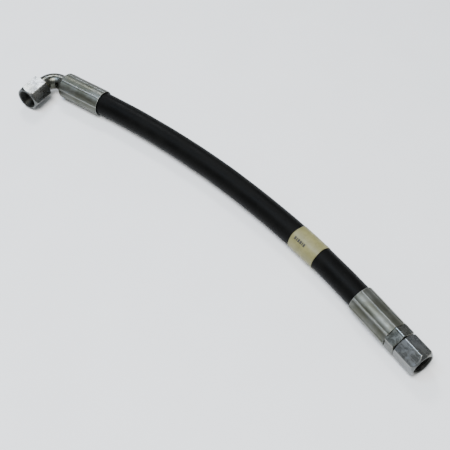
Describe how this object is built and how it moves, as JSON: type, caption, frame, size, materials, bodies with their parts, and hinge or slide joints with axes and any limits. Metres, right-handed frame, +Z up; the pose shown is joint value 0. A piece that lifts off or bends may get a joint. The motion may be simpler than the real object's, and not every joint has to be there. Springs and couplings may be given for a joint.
{
  "type": "hydraulic hose assembly",
  "caption": "Short braided rubber hydraulic hose in a gentle arc, crimped straight swivel fitting at one end and a crimped 90 degree elbow swivel fitting at the other.",
  "frame": {"origin": "centre of the bounding box at the level the ferrules rest on", "axes": "+X from the elbow end to the straight end along the hose's chord; the elbow's nut opens towards -Y; +Z up, square to the plane of the bend"},
  "size_m": [0.4718, 0.0784, 0.0258],
  "materials": {
    "hose_rubber": "satin black cover rubber",
    "nitrile": "smooth black lining rubber",
    "braid_wire": "drawn brass-washed steel wire",
    "label_film": "matt cream film",
    "zinc_ferrule": "zinc plate over drawn steel",
    "zinc_fitting": "zinc plate over turned steel",
    "zinc_nut": "zinc plate over drawn hexagon bar",
    "spring_wire": "plain spring wire",
    "braze_alloy": "dull braze fillet"
  },
  "bodies": {
    "hose_assembly": {"hose_inner_tube": "nitrile", "hose_inner_braid": "braid_wire", "hose_friction_layer": "nitrile", "hose_outer_braid": "braid_wire", "hose_cover": "hose_rubber", "hose_label": "label_film", "straight_ferrule": "zinc_ferrule", "straight_stem": "zinc_fitting", "straight_nut_wire": "spring_wire", "elbow_ferrule": "zinc_ferrule", "elbow_tail": "zinc_fitting", "elbow_tail_braze": "braze_alloy", "elbow_tube": "zinc_fitting", "elbow_head_braze": "braze_alloy", "elbow_head": "zinc_fitting", "elbow_nut_wire": "spring_wire"},
    "straight_nut": {"straight_swivel_nut": "zinc_nut"},
    "elbow_nut": {"elbow_swivel_nut": "zinc_nut"}
  },
  "joints": [
    {"name": "straight_nut_swivel", "type": "hinge", "parent": "hose_assembly", "child": "straight_nut", "pos_m": [0.2226, 0.00047, 0.0129], "axis": [0.9819, -0.1894, 0], "continuous": true},
    {"name": "elbow_nut_swivel", "type": "hinge", "parent": "hose_assembly", "child": "elbow_nut", "pos_m": [-0.22148, -0.02586, 0.0129], "axis": [0.1894, -0.9819, 0], "continuous": true}
  ]
}
